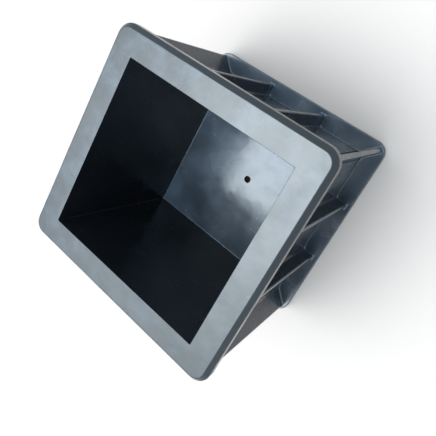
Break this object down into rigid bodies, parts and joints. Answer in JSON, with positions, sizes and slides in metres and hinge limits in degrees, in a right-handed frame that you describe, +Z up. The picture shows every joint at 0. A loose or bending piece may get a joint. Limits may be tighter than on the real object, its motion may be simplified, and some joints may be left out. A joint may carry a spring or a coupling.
{
  "type": "concrete cube mould",
  "caption": "Open square-cavity mould for casting concrete test cubes, with flanges round its mouth and foot, upright side ribs, corner gussets and an air hole in its floor.",
  "frame": {"origin": "middle of the base flange's underside, where the mould stands on the ground", "axes": "+Z up out of the open mouth; -Y is the front side and +X the right side, and all four sides are alike"},
  "size_m": [0.1956, 0.1956, 0.167],
  "materials": {
    "black_plastic": "glossy black moulded plastic with fine flow marks and handling scuffs"
  },
  "bodies": {
    "root": {"top_flange": "black_plastic", "base_flange": "black_plastic", "floor_plate": "black_plastic", "air_boss": "black_plastic", "wall_front": "black_plastic", "wall_right": "black_plastic", "wall_back": "black_plastic", "wall_left": "black_plastic", "rib_front_left": "black_plastic", "rib_front_right": "black_plastic", "rib_right_left": "black_plastic", "rib_right_right": "black_plastic", "rib_back_left": "black_plastic", "rib_back_right": "black_plastic", "rib_left_left": "black_plastic", "rib_left_right": "black_plastic", "gusset_front_right": "black_plastic", "gusset_back_right": "black_plastic", "gusset_back_left": "black_plastic", "gusset_front_left": "black_plastic", "floor_rib_front": "black_plastic", "floor_rib_right": "black_plastic", "floor_rib_back": "black_plastic", "floor_rib_left": "black_plastic"}
  },
  "joints": []
}
